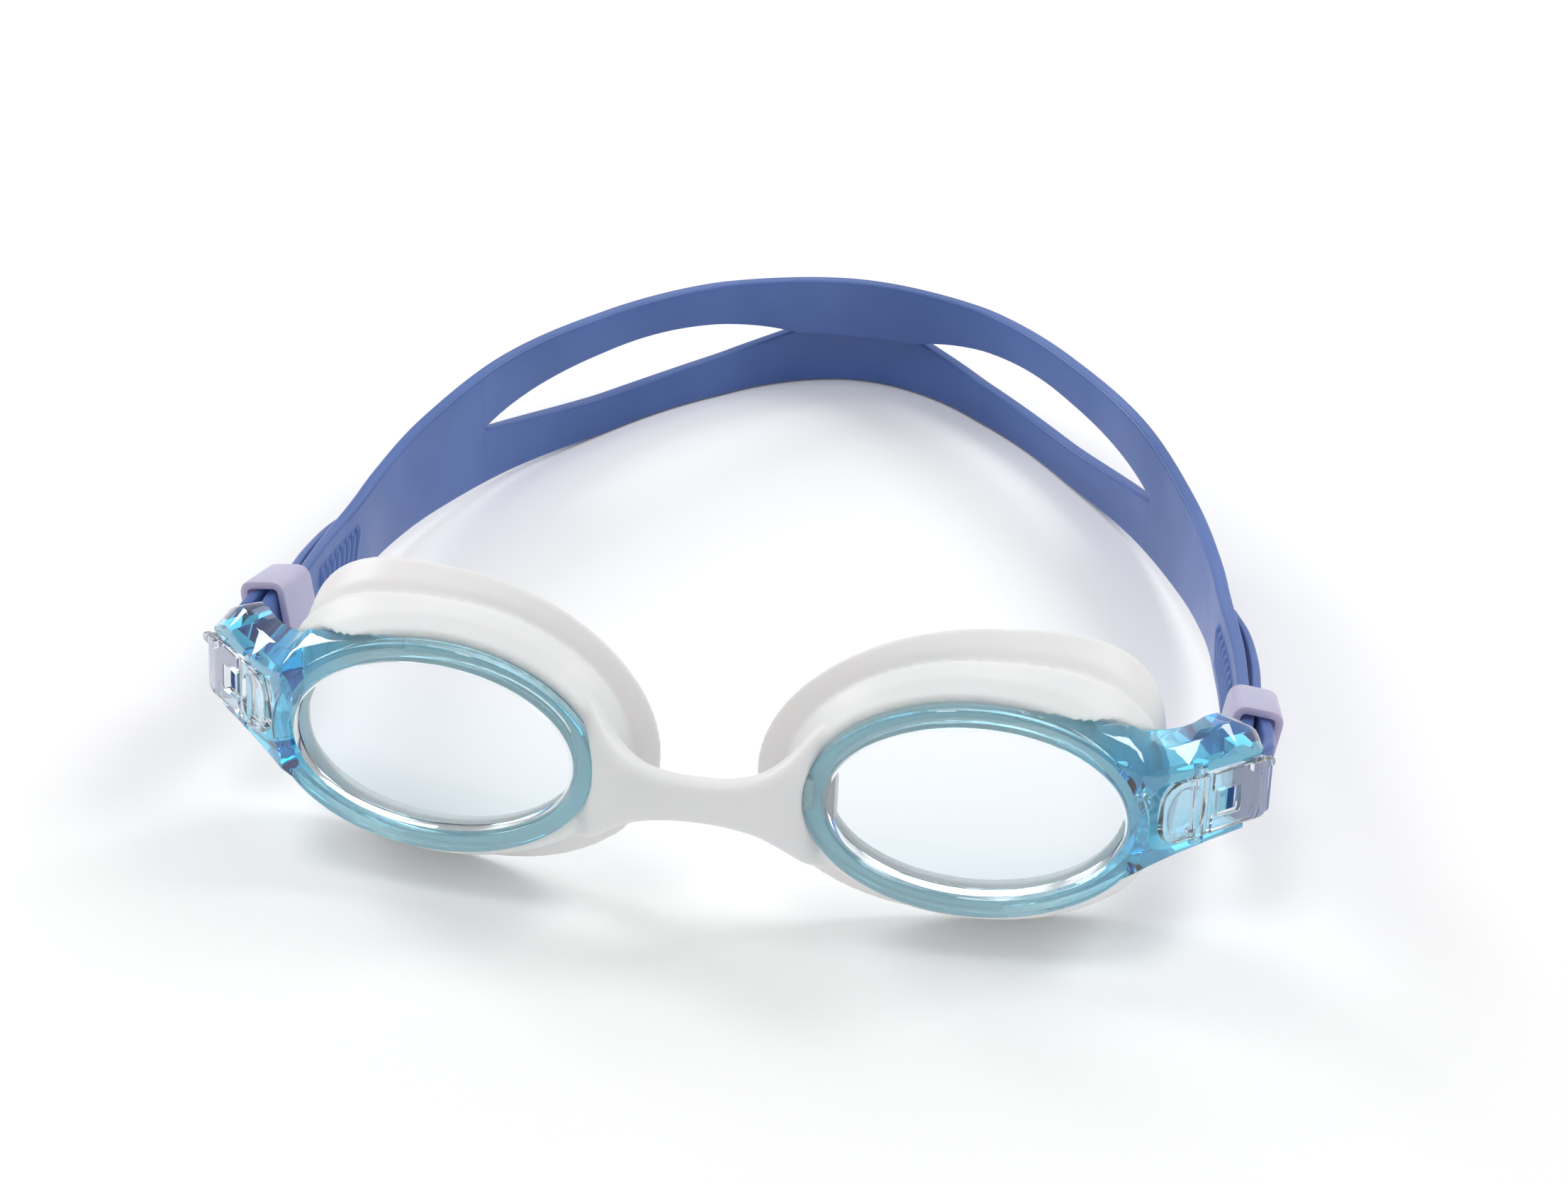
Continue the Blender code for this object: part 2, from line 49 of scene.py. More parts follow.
FACE_LEAN = radians(9)
FACE_TO_WORLD = Matrix.Translation((0, FACE_Y, LENS_HEIGHT)) @ Matrix.Rotation(-FACE_LEAN, 4, "X")
FACE_UP = (FACE_TO_WORLD.to_3x3() @ Vector((0, 0, 1))).normalized()

EYE_X = 36.0
EYE_WRAP = radians(4)
WINDOW = (19.7, 12.15)
RING_WALL = 2.5
RING_BAND = 2.3
SEAT_DEPTH = 1.6
SEAT_LEDGE = 1.2
LENS_BOSS = 0.35
LENS_THICK = 2.0
GAP = 0.3

WING_ROOT = (56.6, 1.0)
WING_ANGLE = radians(47.5)
WING_LENGTH = 22.4
WING_THICK = 5.6
RECESS_START, RECESS_LOW, RECESS_HIGH, RECESS_DEEP = 1.8, -3.7, 5.6, 3.3
SLOT = (18.7, 20.9)
BAR_DEPTH = (3.4, 5.2)
TURN_REACH = 1.35
WING_CHAMFER = 2.6
CHAMFER_DROP = 2.4
NOSE_TAB_ALONG = (-24.6, -21.0)
NOSE_TAB_DEPTH = (0.9, 2.3)
NOSE_TAB_UP = (-1.6, 2.6)

LEVER_ALONG = (4.0, 22.4)
LEVER_UP = (-3.4, 5.2)
LEVER_DEPTH = (-0.5, 0.8)
DISH_MIDDLE = (7.9, 0.9)
DISH_HALF = (3.3, 3.65)
RATCHET_WINDOW = (13.4, 17.4, -1.4, 2.5)
WAIST = (11.7, 12.6)
ARC_ALONG = 19.0
ARC_RADII = (1.9, 1.55)
LIP_START = 18.6
LIP_HEIGHT = 1.1
PIVOT = (11.0, 0.9)
TRUNNION_RADIUS = 0.8
SOCKET_RADIUS = 1.1

STRAP_THICK = 1.7
STRAP_WIDTH = 9.6
STRAP_SWAY = -6.0
KEEPER_Y = (31.2, 39.2)
KEEPER_WALL = 1.2
KEEPER_LEAN = 0.18
KEEPER_ROOM = (0.42, 0.45)
KEEPER_FRONT = (68.4, -1.1)
KEEPER_BACK = (67.0, -1.4)
LAYER_APART = 2.1
LEFT_FLARE = -0.3
LEFT_RISE = 1.8
LEFT_FADE = 35
RUN_START = 40.0
STRAP_DROP = 9.9
BACK_REACH = 149.7
REST_FROM = 125.0

TURN_STEPS = 144
SHARP_ANGLE = 35
SIDES = ((1, "right"), (-1, "left"))


# ---------------------------------------------------------------- mesh helpers


def new_object(name, points, faces, material=None, guide=False):
    mesh = bpy.data.meshes.new(name)
    mesh.from_pydata([Vector(p) * MM for p in points], [], faces)
    work = bmesh.new()
    work.from_mesh(mesh)
    bmesh.ops.recalc_face_normals(work, faces=work.faces)
    work.to_mesh(mesh)
    work.free()
    made = bpy.data.objects.new(name, mesh)
    bpy.context.scene.collection.objects.link(made)
    if material:
        mesh.materials.append(material)
        mesh.shade_smooth()
        mesh.set_sharp_from_angle(angle=radians(SHARP_ANGLE))
    if guide:
        made.hide_render = True
        made.display_type = "WIRE"
    return made


def boolean(target, other, operation):
    step = target.modifiers.new(other.name, "BOOLEAN")
    step.object = other
    step.operation = operation
    step.solver = "EXACT"


def settle(target, guides, angle):
    """Applies the modifiers of target and removes the guides they used."""
    bpy.context.view_layer.update()
    graph = bpy.context.evaluated_depsgraph_get()
    mesh = bpy.data.meshes.new_from_object(target.evaluated_get(graph))
    target.modifiers.clear()
    target.data = mesh
    mesh.shade_smooth()
    mesh.set_sharp_from_angle(angle=radians(angle))
    for guide in guides:
        bpy.data.objects.remove(guide, do_unlink=True)


def joined(name, objects, material):
    """One object that holds the meshes of several."""
    work = bmesh.new()
    for part in objects:
        work.from_mesh(part.data)
    mesh = bpy.data.meshes.new(name)
    work.to_mesh(mesh)
    work.free()
    made = bpy.data.objects.new(name, mesh)
    bpy.context.scene.collection.objects.link(made)
    mesh.materials.append(material)
    mesh.shade_smooth()
    mesh.set_sharp_from_angle(angle=radians(40))
    for part in objects:
        bpy.data.objects.remove(part, do_unlink=True)
    return made


def grid_faces(rows, columns, closed_rows):
    faces = []
    for r in range(rows if closed_rows else rows - 1):
        below, above = r * columns, (r + 1) % rows * columns
        for c in range(columns):
            d = (c + 1) % columns
            faces.append((below + c, below + d, above + d, above + c))
    return faces


def loft(name, rings, material=None, guide=False):
    columns = len(rings[0])
    faces = grid_faces(len(rings), columns, False)
    faces.append(tuple(range(columns)))
    faces.append(tuple(range((len(rings) - 1) * columns, len(rings) * columns)))
    return new_object(name, [p for ring in rings for p in ring], faces, material, guide)


def hoop(name, rings, material=None, guide=False):
    faces = grid_faces(len(rings), len(rings[0]), True)
    return new_object(name, [p for ring in rings for p in ring], faces, material, guide)


def fillet(outline, radius, steps=4):
    """The closed outline with its corners rounded; radius is one number or one for each corner."""
    points = [Vector(p) for p in outline]
    radii = radius if isinstance(radius, (list, tuple)) else [radius] * len(points)
    result = []
    for i, corner in enumerate(points):
        before, after = points[i - 1], points[(i + 1) % len(points)]
        to_before, to_after = before - corner, after - corner
        reach = min(radii[i], to_before.length * 0.48, to_after.length * 0.48)
        a = corner + to_before.normalized() * reach
        b = corner + to_after.normalized() * reach
        for s in range(steps + 1):
            t = s / steps
            result.append(a * (1 - t) ** 2 + corner * 2 * t * (1 - t) + b * t**2)
    return result


def shrunk(outline, amount):
    """The outline moved inwards by amount, for shapes without deep notches."""
    middle = sum((Vector(p) for p in outline), Vector((0, 0))) / len(outline)
    return [Vector(p) + (middle - Vector(p)).normalized() * amount for p in outline]


def prism(name, outline, levels, place, material=None, guide=False):
    """A solid with a flat outline at each of several (height, inset) levels."""
    rings = []
    for height, inset in levels:
        shape = shrunk(outline, inset) if inset else outline
        rings.append([place(p[0], p[1], height) for p in shape])
    return loft(name, rings, material, guide)


def smooth(knots, steps):
    knots = [Vector(k) for k in knots]
    points = []
    for i in range(len(knots) - 1):
        before = knots[i - 1] if i else knots[i] * 2 - knots[i + 1]
        after = knots[i + 2] if i + 2 < len(knots) else knots[i + 1] * 2 - knots[i]
        for s in range(steps):
            t = s / steps
            points.append(
                0.5
                * (
                    2 * knots[i]
                    + (knots[i + 1] - before) * t
                    + (2 * before - 5 * knots[i] + 4 * knots[i + 1] - after) * t**2
                    + (3 * knots[i] - before - 3 * knots[i + 1] + after) * t**3
                )
            )
    points.append(knots[-1])
    return points


def in_face(point, side=1):
    return FACE_TO_WORLD @ Vector((point[0] * side, point[1], point[2]))


def oval(half, steps, power=2.0, nose_power=None):
    points = []
    for i in range(steps):
        across, up = cos(2 * pi * i / steps), sin(2 * pi * i / steps)
        root = 2 / (power if across >= 0 else nose_power or power)
        x = half[0] * abs(across) ** root * (1 if across >= 0 else -1)
        z = half[1] * abs(up) ** root * (1 if up >= 0 else -1)
        points.append((x, z))
    return points


def circle(a, b, radius, steps):
    angles = [2 * pi * i / steps for i in range(steps)]
    return [(a + radius * cos(t), b + radius * sin(t)) for t in angles]


def arc(a, b, radius, first, last, steps=10):
    """Points on a circle about (a, b), from one angle to another."""
    angles = [first + (last - first) * i / steps for i in range(steps + 1)]
    return [(a + radius * cos(t), b + radius * sin(t)) for t in angles]


def rectangle(first, last, low, high):
    return [(first, low), (last, low), (last, high), (first, high)]


def eye_point(u, depth, up):
    x = EYE_X + u * cos(EYE_WRAP) - depth * sin(EYE_WRAP)
    y = u * sin(EYE_WRAP) + depth * cos(EYE_WRAP)
    return x, y, up


def wing_point(along, depth, up):
    x = WING_ROOT[0] + along * cos(WING_ANGLE) - depth * sin(WING_ANGLE)
    y = WING_ROOT[1] + along * sin(WING_ANGLE) + depth * cos(WING_ANGLE)
    return x, y, up


def on_wing(side):
    """Places an outline drawn on the wing's outer face, with its levels going into the wing."""
    return lambda along, up, depth: in_face(wing_point(along, depth, up), side)


def through_wing(side):
    """Places an outline drawn on the wing in plan, with its levels going upwards."""
    return lambda along, depth, up: in_face(wing_point(along, depth, up), side)


def widened(half, extra):
    return half[0] + extra, half[1] + extra


def eye_oval(half, depth, side):
    return [in_face(eye_point(u, depth, up), side) for u, up in oval(half, TURN_STEPS)]


# ---------------------------------------------------------------- materials


def shader_of(name, colour, roughness, **values):
    made = bpy.data.materials.new(name)
    made.use_nodes = True
    shader = made.node_tree.nodes["Principled BSDF"]
    shader.inputs["Base Color"].default_value = (*colour, 1.0)
    shader.inputs["Roughness"].default_value = roughness
    for key, value in values.items():
        shader.inputs[key.replace("_", " ")].default_value = value
    return made, made.node_tree, shader


def add_noise(tree, scale, detail=3.0):
    place = tree.nodes.new("ShaderNodeTexCoord")
    noise = tree.nodes.new("ShaderNodeTexNoise")
    noise.inputs["Scale"].default_value = scale
    noise.inputs["Detail"].default_value = detail
    tree.links.new(place.outputs["Object"], noise.inputs["Vector"])
    return noise


def vary_roughness(tree, shader, scale, low, high):
    noise = add_noise(tree, scale)
    ramp = tree.nodes.new("ShaderNodeMapRange")
    ramp.inputs["From Min"].default_value = 0.3
    ramp.inputs["From Max"].default_value = 0.7
    ramp.inputs["To Min"].default_value = low
    ramp.inputs["To Max"].default_value = high
    tree.links.new(noise.outputs["Fac"], ramp.inputs["Value"])
    tree.links.new(ramp.outputs["Result"], shader.inputs["Roughness"])


def vary_colour(tree, shader, scale, first, second):
    noise = add_noise(tree, scale)
    ramp = tree.nodes.new("ShaderNodeValToRGB")
    ramp.color_ramp.elements[0].position = 0.35
    ramp.color_ramp.elements[0].color = (*first, 1)
    ramp.color_ramp.elements[1].position = 0.65
    ramp.color_ramp.elements[1].color = (*second, 1)
    tree.links.new(noise.outputs["Fac"], ramp.inputs["Fac"])
    tree.links.new(ramp.outputs["Color"], shader.inputs["Base Color"])


def paint_shade_upwards(tree, shader, heights, low, high):
    """Paints shade into the base colour, from low to high, between two heights in metres above the lenses'
    middle.
    """
    base = LENS_HEIGHT * MM
    shade_along(tree, shader, "Z", (heights[0] + base, heights[1] + base), low, high)


def shade_outwards(tree, shader, distances, inner, outer):
    """Shades the base colour from inner to outer, between two distances in metres from the middle plane."""
    shade_along(tree, shader, "X", distances, inner, outer)


def shade_along(tree, shader, axis, limits, low, high):
    place = tree.nodes.new("ShaderNodeTexCoord")
    parts = tree.nodes.new("ShaderNodeSeparateXYZ")
    size = tree.nodes.new("ShaderNodeMath")
    size.operation = "ABSOLUTE"
    ramp = tree.nodes.new("ShaderNodeMapRange")
    ramp.inputs["From Min"].default_value = limits[0]
    ramp.inputs["From Max"].default_value = limits[1]
    mix = tree.nodes.new("ShaderNodeValToRGB")
    mix.color_ramp.elements[0].color = (*low, 1)
    mix.color_ramp.elements[1].color = (*high, 1)
    tree.links.new(place.outputs["Object"], parts.inputs["Vector"])
    tree.links.new(parts.outputs[axis], size.inputs[0])
    tree.links.new(size.outputs["Value"], ramp.inputs["Value"])
    tree.links.new(ramp.outputs["Result"], mix.inputs["Fac"])
    tree.links.new(mix.outputs["Color"], shader.inputs["Base Color"])


def add_bump(tree, shader, scale, distance, strength=0.4):
    noise = add_noise(tree, scale, 4.0)
    bump = tree.nodes.new("ShaderNodeBump")
    bump.inputs["Distance"].default_value = distance
    bump.inputs["Strength"].default_value = strength
    tree.links.new(noise.outputs["Fac"], bump.inputs["Height"])
    tree.links.new(bump.outputs["Normal"], shader.inputs["Normal"])


def absorb(tree, colour, density):
    inside = tree.nodes.new("ShaderNodeVolumeAbsorption")
    inside.inputs["Color"].default_value = (*colour, 1)
    inside.inputs["Density"].default_value = density
    tree.links.new(inside.outputs["Volume"], tree.nodes["Material Output"].inputs["Volume"])


def make_materials():
    made = {}
    tint, tree, shader = shader_of(
        "tinted polycarbonate",
        (0.95, 0.98, 0.99),
        0.03,
        Transmission_Weight=1.0,
        IOR=1.25,
        Coat_Weight=1.0,
        Coat_IOR=1.85,
        Coat_Roughness=0.02,
    )
    vary_roughness(tree, shader, 120, 0.02, 0.05)
    shade_outwards(tree, shader, (0.046, 0.057), (0.96, 0.985, 0.99), (0.56, 0.88, 0.98))
    absorb(tree, (0.02, 0.77, 0.935), 215)
    made["tint"] = tint

    lens, tree, shader = shader_of(
        "clear lens",
        (0.985, 0.99, 1.0),
        0.01,
        Transmission_Weight=1.0,
        IOR=1.2,
        Coat_Weight=1.0,
        Coat_IOR=1.5,
        Coat_Roughness=0.01,
    )
    vary_roughness(tree, shader, 60, 0.0, 0.02)
    # painted shade: the clear lens is darker towards the bottom and lighter towards the top
    paint_shade_upwards(tree, shader, (-0.012, 0.010), (0.80, 0.87, 0.905), (0.965, 0.98, 0.995))
    absorb(tree, (0.55, 0.75, 0.85), 8)
    made["lens"] = lens

    clear, tree, shader = shader_of(
        "clear polycarbonate",
        (0.97, 0.98, 1.0),
        0.03,
        Transmission_Weight=0.95,
        IOR=1.45,
        Coat_Weight=1.0,
        Coat_IOR=1.6,
        Coat_Roughness=0.02,
    )
    vary_roughness(tree, shader, 150, 0.02, 0.06)
    absorb(tree, (0.5, 0.6, 0.8), 20)
    made["clear"] = clear

    milky, tree, shader = shader_of(
        "frosted silicone",
        (0.87, 0.90, 0.90),
        0.4,
        Transmission_Weight=0.15,
        IOR=1.41,
        Subsurface_Weight=0.35,
        Subsurface_Scale=0.002,
    )
    vary_roughness(tree, shader, 90, 0.32, 0.5)
    vary_colour(tree, shader, 35, (0.87, 0.90, 0.90), (0.92, 0.935, 0.94))
    add_bump(tree, shader, 900, 0.00003)
    made["milky"] = milky

    strap, tree, shader = shader_of(
        "blue silicone",
        (0.09, 0.15, 0.42),
        0.38,
        Sheen_Weight=0.3,
        Sheen_Roughness=0.3,
        Sheen_Tint=(0.7, 0.7, 1.0, 1.0),
        Subsurface_Weight=0.15,
        Subsurface_Scale=0.0015,
    )
    vary_roughness(tree, shader, 70, 0.3, 0.46)
    vary_colour(tree, shader, 28, (0.045, 0.105, 0.32), (0.085, 0.16, 0.43))
    add_bump(tree, shader, 1100, 0.00003)
    made["strap"] = strap

    lavender, tree, shader = shader_of(
        "frosted lavender plastic",
        (0.68, 0.66, 0.87),
        0.35,
        Transmission_Weight=0.35,
        Subsurface_Weight=0.4,
        Subsurface_Scale=0.002,
    )
    vary_roughness(tree, shader, 120, 0.3, 0.45)
    vary_colour(tree, shader, 60, (0.64, 0.61, 0.85), (0.72, 0.70, 0.90))
    add_bump(tree, shader, 1000, 0.00002)
    made["lavender"] = lavender
    return made


# ---------------------------------------------------------------- lens and frame


def build_lens(name, side, material):
    back = SEAT_DEPTH + GAP + LENS_THICK
    stations = (
        (-0.95, LENS_BOSS),
        (-0.55, LENS_BOSS + 0.06),
        (-GAP, LENS_BOSS + 0.35),
        (-GAP, back - 0.3),
        (-GAP - 0.1, back - 0.1),
        (-GAP - 0.35, back),
    )
    return loft(name, [eye_oval(widened(WINDOW, extra), depth, side) for extra, depth in stations], material)


def wing_stations():
    """Front point and back point in plan, low, top, and how far the top rises to the back."""

    def w(along, depth):
        return wing_point(along, depth, 0)[:2]

    end = WING_LENGTH
    return (
        ((40.0, 0.55), (40.0, 3.0), -13.6, 13.9, 0.0),
        ((43.0, 0.75), (43.0, 3.4), -13.0, 13.7, 0.3),
        ((46.0, 0.95), (46.0, 4.4), -12.2, 13.2, 0.45),
        ((49.2, 1.15), (49.4, 5.2), -10.7, 12.5, 0.5),
        ((51.5, 1.25), (51.2, 5.8), -9.6, 12.0, 0.8),
        ((53.5, 1.35), (52.6, 6.3), -8.4, 11.4, 1.2),
        ((55.4, 1.4), (53.6, 6.7), -7.3, 10.8, 1.6),
        (w(0.4, 0.15), w(3.2, 5.6), -6.4, 10.2, 1.9),
        (w(2.6, 0), w(4.6, WING_THICK), -5.9, 9.6, 1.5),
        (w(5.0, 0), w(6.4, WING_THICK), -5.6, 9.25, 1.4),
        (w(8.0, 0), w(8.8, WING_THICK), -5.3, 9.0, 1.2),
        (w(10.8, 0), w(11.2, WING_THICK), -5.1, 9.05, 0.8),
        (w(13.2, 0), w(13.4, WING_THICK), -4.9, 9.5, 0.4),
        (w(15.6, 0), w(15.6, WING_THICK), -4.8, 10.3, 0.1),
        (w(17.4, 0), w(17.4, WING_THICK), -4.7, 10.4, 0.0),
        (w(19.6, 0), w(19.4, WING_THICK), -4.6, 9.5, 0.0),
        (w(end - 1.0, 0.15), w(end - 1.3, WING_THICK - 0.2), -4.5, 8.6, 0.0),
        (w(end - 0.25, 0.8), w(end - 0.5, WING_THICK - 0.9), -4.4, 8.0, 0.0),
        (w(end, 1.5), w(end - 0.2, WING_THICK - 1.7), -4.3, 7.5, 0.0),
    )


def wing_section(front, back, low, top, rise, side):
    """One section of the wing: a broad chamfer runs along its upper front edge."""
    thick = hypot(back[0] - front[0], back[1] - front[1])
    chamfer = min(WING_CHAMFER, thick * 0.45)
    outline = (
        (0.0, low + 0.2),
        (0.0, top - CHAMFER_DROP),
        (chamfer, top - 0.1),
        (thick, top + rise),
        (thick, low),
        (0.6, low),
    )
    points = []
    for depth, up in fillet(outline, [0.3, 0.3, 0.35, 0.5, 0.6, 0.3], 3):
        t = depth / thick
        x = front[0] + (back[0] - front[0]) * t
        y = front[1] + (back[1] - front[1]) * t
        points.append(in_face((x, y, up), side))
    return points


def build_frame(name, side, material):
    profile = fillet(
        [
            (RING_WALL, 0),
            (RING_WALL, RING_BAND),
            (0, RING_BAND),
            (0, 0),
        ],
        [0.4, 0.15, 0.15, 0.3],
        3,
    )
    ring = hoop(name, [eye_oval(widened(WINDOW, extra), depth, side) for extra, depth in profile], material)
    guides = []

    def guide(made):
        guides.append(made)
        return made

    sections = [wing_section(*station, side) for station in wing_stations()]
    wing = guide(loft(name + "_wing", sections, None, True))

    upright = on_wing(side)
    seat = widened(WINDOW, SEAT_LEDGE - 0.02)
    rings = [eye_oval(seat, depth, side) for depth in (-4, 9)]
    boolean(wing, guide(loft(name + "_seat_cut", rings, None, True)), "DIFFERENCE")
    start, low, high = RECESS_START, RECESS_LOW, RECESS_HIGH
    past_slot, past_end, past_bottom = SLOT[0] + 0.5, WING_LENGTH + 3, -9
    corners = [
        (start, low),
        (past_slot, low),
        (past_slot, past_bottom),
        (past_end, past_bottom),
        (past_end, high),
        (start, high),
    ]
    outline = fillet(corners, [3.2, 0.2, 0.1, 0.1, 0.1, 3.6], 8)
    levels = ((-4, 0.0), (RECESS_DEEP - 0.45, 0.0), (RECESS_DEEP - 0.1, 0.15), (RECESS_DEEP, 0.45))
    boolean(wing, guide(prism(name + "_recess", outline, levels, upright, None, True)), "DIFFERENCE")
    cuts = (
        ("slot", SLOT[0], SLOT[1], high + 0.03, -4.1, 9.2),
        ("behind", SLOT[1] - 0.2, WING_LENGTH + 4.1, high + 0.06, BAR_DEPTH[1], 12.3),
    )
    for label, first, last, top, outer_face, inner_face in cuts:
        outline = rectangle(first, last, -14, top)
        levels = ((outer_face, 0), (inner_face, 0))
        boolean(wing, guide(prism(name + "_" + label, outline, levels, upright, None, True)), "DIFFERENCE")

    socket = circle(*PIVOT, SOCKET_RADIUS, 24)
    levels = ((low - 0.9, 0), (high + 0.9, 0))
    plan = through_wing(side)
    boolean(wing, guide(prism(name + "_socket", socket, levels, plan, None, True)), "DIFFERENCE")
    boolean(ring, wing, "UNION")

    def tab_place(u, depth, up):
        return in_face(eye_point(u, depth, up), side)

    tab = rectangle(*NOSE_TAB_ALONG, *NOSE_TAB_DEPTH)
    levels = [(up, 0) for up in NOSE_TAB_UP]
    boolean(ring, guide(prism(name + "_tab", tab, levels, tab_place, None, True)), "UNION")
    settle(ring, guides, 30)
    return ring


# ---------------------------------------------------------------- lever


def build_lever(name, side, material):
    flat = on_wing(side)
    end = LEVER_ALONG[1]
    low, high = LEVER_UP
    front, back = LEVER_DEPTH
    outline = fillet(rectangle(*LEVER_ALONG, low, high), [3.6, 1.6, 1.0, 3.6], 8)
    levels = ((front, 0.35), (front + 0.12, 0.1), (front + 0.35, 0), (back - 0.25, 0), (back, 0.25))
    lever = prism(name, outline, levels, flat, material)
    guides = []

    def cut(label, shape, levels, place=flat, operation="DIFFERENCE"):
        made = prism(name + "_" + label, shape, levels, place, None, True)
        guides.append(made)
        boolean(lever, made, operation)

    pad = [(DISH_MIDDLE[0] + x, DISH_MIDDLE[1] + z) for x, z in oval(DISH_HALF, 48, 2.2)]
    cut("dish", pad, ((front - 1, -0.3), (front, 0.0), (front + 0.45, 0.5), (front + 0.7, 1.5)))
    window = fillet(rectangle(*RATCHET_WINDOW), 0.35, 3)
    cut("window", window, ((front - 1, 0), (back + 1, 0)))
    for label, middle, first, last in (("upper", 3.4, -0.2, 1.5), ("lower", -1.9, -1.5, 0.2)):
        outer, inner = ARC_RADII
        band = arc(ARC_ALONG, middle, outer, first, last) + arc(ARC_ALONG, middle, inner, last, first)
        cut("arc_" + label, band, ((front - 1, 0), (front + 0.25, 0)))
    waist = rectangle(*WAIST, low - 0.3, high + 0.3)
    cut("waist", fillet(waist, 0.3, 2), ((front - 1, 0), (front + 0.3, 0.0), (front + 0.4, 0.2)))
    lip = fillet(rectangle(LIP_START, end + 0.1, high - LIP_HEIGHT, high), 0.3, 3)
    cut("lip", lip, ((front - 0.6, 0.1), (front - 0.45, 0), (front + 0.3, 0)), flat, "UNION")
    barrel = circle(*PIVOT, TRUNNION_RADIUS, 24)
    levels = ((RECESS_LOW - 0.5, 0), (RECESS_HIGH + 0.5, 0))
    cut("trunnion", barrel, levels, through_wing(side), "UNION")
    settle(lever, guides, 32)
    return lever


# ---------------------------------------------------------------- gasket

# Each station is (nose half width, temple half width, half height, depth, power).
CUP = (
    (22.55, 22.55, 14.95, 2.0, 2.0),
    (23.3, 23.0, 15.8, 2.2, 2.0),
    (24.6, 23.6, 17.2, 4.8, 2.2),
    (25.6, 24.0, 18.0, 8.0, 2.7),
    (25.2, 23.3, 17.4, 8.7, 2.7),
    (27.2, 23.4, 18.8, 9.8, 2.9),
    (29.2, 23.6, 20.6, 12.0, 3.1),
    (29.0, 23.5, 20.5, 12.5, 3.1),
    (28.0, 22.6, 19.6, 12.3, 3.1),
    (24.6, 20.8, 16.4, 9.6, 2.7),
    (20.8, 19.2, 12.6, 7.4, 2.3),
    (18.9, 18.6, 11.4, 6.0, 2.0),
    (18.9, 18.6, 11.4, 4.4, 2.0),
    (20.0, 20.0, 12.4, 4.2, 2.0),
    (20.1, 20.1, 12.55, 2.6, 2.0),
    (22.2, 22.2, 14.65, 2.55, 2.0),
)
SKIRT_INSIDE = CUP[7:11]
CUP_FLARE_START = 6.3
CUP_SLANT = 0.173
CUP_SKIRT_MIDDLE = -4.0
CUP_FLARE_DEPTH = 5.9
NOSE_THICKER = 0.6
BRIDGE_HOLE = (22.25, 14.7)
BRIDGE_HOLE_DEPTH = 2.56
GASKET_VOXEL = 0.3
GASKET_SMOOTHINGS = 9
# Each station is (x, y, z, half depth, half height), from the middle to the right.
BRIDGE = (
    (0.0, -1.0, -2.0, 2.1, 3.1),
    (4.0, -1.0, -2.0, 2.2, 3.3),
    (8.0, -0.6, -1.9, 2.6, 4.3),
    (11.5, 0.4, -1.6, 3.6, 6.6),
    (14.5, 2.4, -1.2, 4.0, 9.6),
    (17.5, 4.6, -0.8, 2.6, 11.2),
)


def cup_ring(station, side):
    nose, temple, up, depth, power = station
    ring = []
    inside = station in SKIRT_INSIDE
    for x, z in oval((1, 1), TURN_STEPS, power, 2.0):
        u = x * (temple if x >= 0 else nose)
        beyond = max(0.0, depth - CUP_FLARE_START)
        slanted = 1 + CUP_SLANT * (u - CUP_SKIRT_MIDDLE) / CUP_FLARE_DEPTH
        thicker = NOSE_THICKER * max(0.0, -x) if inside else 0.0
        place = min(depth, CUP_FLARE_START) + beyond * slanted + thicker
        ring.append(in_face(eye_point(u, place, z * up), side))
    return ring


def wing_clearance(name, side):
    rings = []
    for front, back, low, top, rise in wing_stations():
        ahead = (Vector(back) - Vector(front)).normalized()
        first, last = Vector(front) - ahead * 4, Vector(back) + ahead * 0.3
        corners = ((first, low - 0.4), (first, top + 0.1), (last, top + rise + 0.25), (last, low - 0.4))
        rings.append([in_face((p.x, p.y, up), side) for p, up in corners])
    return loft(name, rings, None, True)


def build_gasket(name, material):
    guides = []
    cups = []
    for side, label in SIDES:
        cup = hoop(name + "_" + label, [cup_ring(station, side) for station in CUP], None, side == -1)
        cups.append(cup)
    gasket, left = cups
    stations = [(-x, y, z, d, h) for x, y, z, d, h in reversed(BRIDGE[1:])] + list(BRIDGE)
    spread = smooth([Vector(s[:3]) for s in stations], 3)
    sizes = smooth([Vector((s[3], s[4], 0)) for s in stations], 3)
    rings = []
    for middle, size in zip(spread, sizes):
        shape = oval((size[0], size[1]), 36, 2.4)
        rings.append([in_face((middle[0], middle[1] + a, middle[2] + b)) for a, b in shape])
    bridge = loft(name + "_bridge", rings, None, True)
    for side, label in SIDES:
        rings = [eye_oval(BRIDGE_HOLE, depth, side) for depth in (-6, BRIDGE_HOLE_DEPTH)]
        hole = loft(name + "_hole_" + label, rings, None, True)
        boolean(bridge, hole, "DIFFERENCE")
        guides.append(hole)
    boolean(gasket, left, "UNION")
    boolean(gasket, bridge, "UNION")
    for side, label in SIDES:
        clear = wing_clearance(name + "_clear_" + label, side)
        boolean(gasket, clear, "DIFFERENCE")
        guides.append(clear)
    voxels = gasket.modifiers.new("voxels", "REMESH")
    voxels.mode = "VOXEL"
    voxels.voxel_size = GASKET_VOXEL * MM
    soften = gasket.modifiers.new("soften", "SMOOTH")
    soften.factor = 0.5
    soften.iterations = GASKET_SMOOTHINGS
    gasket.data.materials.append(material)
    settle(gasket, [left, bridge, *guides], 80)
    gasket.name = name
    return gasket


# ---------------------------------------------------------------- strap and keepers

